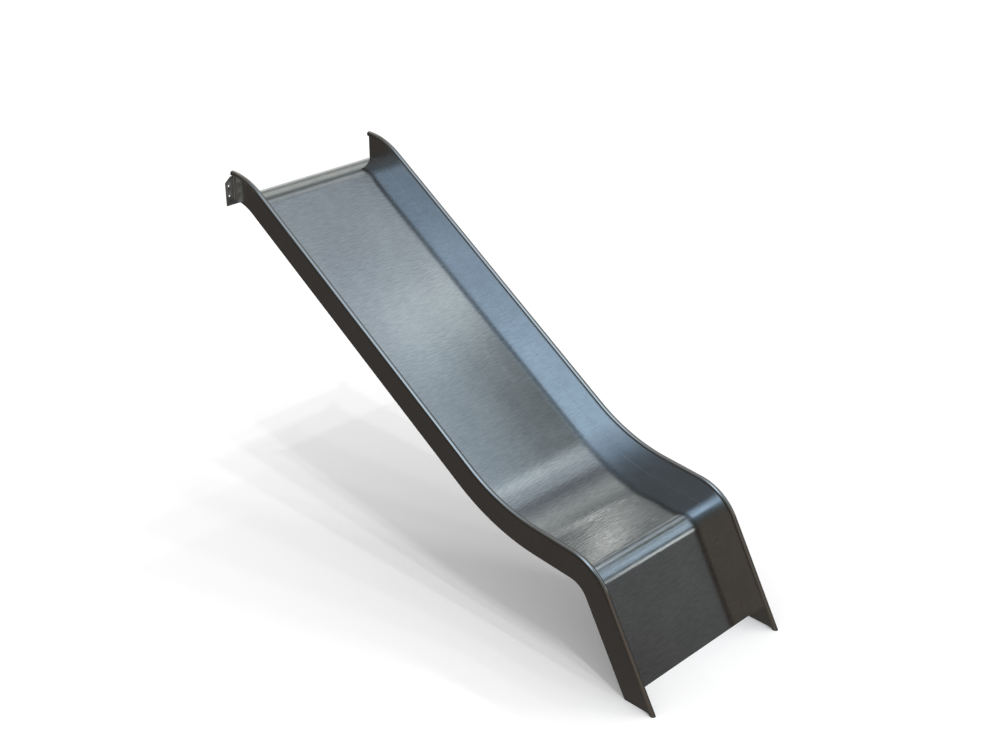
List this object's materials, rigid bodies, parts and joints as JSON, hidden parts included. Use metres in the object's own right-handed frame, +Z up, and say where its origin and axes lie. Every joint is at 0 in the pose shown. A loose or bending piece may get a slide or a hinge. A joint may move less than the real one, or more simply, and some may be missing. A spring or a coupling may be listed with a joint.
{
  "type": "playground wave slide",
  "caption": "Wide stainless steel playground slide: straight slope, hollow bend, short run-out and steep exit apron between low side cheeks with round rims, bolted at the top.",
  "frame": {"origin": "below the middle of the slide's length and width, at the height of its cut foot", "axes": "+X runs down the slide from the platform to the exit, +Y to the left of someone sliding down, +Z up"},
  "size_m": [3.1652, 1.108, 2.001],
  "materials": {
    "bed_steel": "stainless sheet, brushed across the slide",
    "cheek_steel": "stainless plate, fine brushed",
    "rim_steel": "polished stainless tube",
    "bracket_steel": "mill finish stainless plate"
  },
  "bodies": {
    "root": {"chute_bed": "bed_steel", "start_cross_angle": "bracket_steel", "left_cheek": "cheek_steel", "left_rim_tube": "rim_steel", "left_rim_top_cap": "rim_steel", "left_rim_foot_cap": "rim_steel", "left_mounting_flange": "bracket_steel", "left_foot_gusset": "bracket_steel", "right_cheek": "cheek_steel", "right_rim_tube": "rim_steel", "right_rim_top_cap": "rim_steel", "right_rim_foot_cap": "rim_steel", "right_mounting_flange": "bracket_steel", "right_foot_gusset": "bracket_steel", "slope_rib_1": "bracket_steel", "slope_rib_2": "bracket_steel", "slope_rib_3": "bracket_steel", "slope_rib_4": "bracket_steel", "runout_rib_1": "bracket_steel", "runout_rib_2": "bracket_steel", "exit_rib_1": "bracket_steel", "foot_bar": "bracket_steel"}
  },
  "joints": []
}
